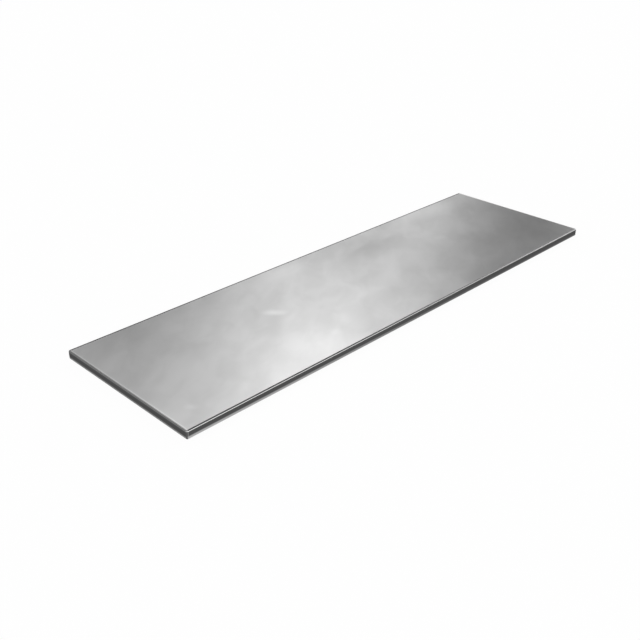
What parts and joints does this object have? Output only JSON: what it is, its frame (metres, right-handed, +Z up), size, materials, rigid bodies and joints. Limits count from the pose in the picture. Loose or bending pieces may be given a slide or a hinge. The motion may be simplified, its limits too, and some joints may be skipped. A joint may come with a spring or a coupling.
{
  "type": "steel shim",
  "caption": "Flat rectangular steel shim plate with eased edges, laid between two bearing surfaces to pack out a gap.",
  "frame": {"origin": "middle of the lower bearing face", "axes": "+X along the plate's length, +Y across its width, +Z up through its gauge"},
  "size_m": [0.2, 0.06, 0.003],
  "materials": {
    "steel": "bright rolled steel with a soft cloudy sheen, burnished edge radii and darker dull cut sides"
  },
  "bodies": {
    "root": {"shim_plate": "steel"}
  },
  "joints": []
}
